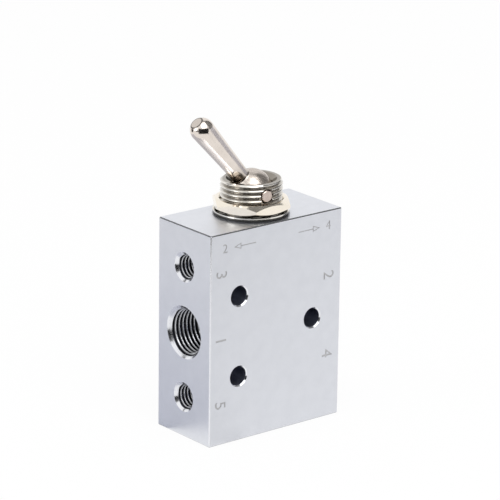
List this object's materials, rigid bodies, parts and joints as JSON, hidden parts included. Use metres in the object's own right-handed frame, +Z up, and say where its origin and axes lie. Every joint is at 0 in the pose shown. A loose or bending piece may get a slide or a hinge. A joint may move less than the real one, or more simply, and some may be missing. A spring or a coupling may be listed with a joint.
{
  "type": "hand lever air valve",
  "caption": "Toggle lever air valve: a drilled aluminium block with threaded air ports, a threaded bushing with nut and washers, and a lever that drives a sprung spool.",
  "frame": {"origin": "centre of the block's bottom face", "axes": "+Z up along the spool and bushing, +X towards the outlet ports' face, -Y out of the marked wide face"},
  "size_m": [0.032, 0.016, 0.062],
  "materials": {
    "block": "fine satin, clear anodised",
    "nickel": "bright nickel plate, lightly brushed",
    "pin": "riveted end, dull",
    "washer": "nickel plated stamping",
    "seal": "matt black nitrile",
    "spacer": "natural acetal",
    "follower": "turned, hardened",
    "spool": "turned and polished",
    "spring": "drawn wire"
  },
  "bodies": {
    "body": {"valve_block": "block", "toggle_bushing": "nickel", "bushing_gasket": "seal", "flat_washer": "washer", "lock_washer": "washer", "panel_nut": "nickel", "pivot_pin": "pin", "return_spring": "spring", "spool_seal_1": "seal", "spool_seal_2": "seal", "spool_seal_3": "seal", "spool_seal_4": "seal", "spool_seal_5": "seal", "spool_seal_6": "seal", "seal_spacer_1": "spacer", "seal_spacer_2": "spacer", "seal_spacer_3": "spacer", "seal_spacer_4": "spacer", "seal_spacer_5": "spacer"},
    "lever": {"toggle_lever": "nickel"},
    "spool": {"spool": "spool", "cam_follower": "follower"}
  },
  "joints": [
    {"name": "lever_swing", "type": "hinge", "parent": "body", "child": "lever", "pos_m": [0, 0, 0.0466], "axis": [0.1392, 0.9903, 0], "range_deg": [0, 80]},
    {"name": "spool_slide", "type": "slide", "parent": "body", "child": "spool", "axis": [0, 0, -1], "range_m": [0, 0.0018], "deforming": ["return_spring"]}
  ],
  "couplings": [
    {"joint": "spool_slide", "follows": "lever_swing", "m_per_rad": 0.0012892}
  ]
}
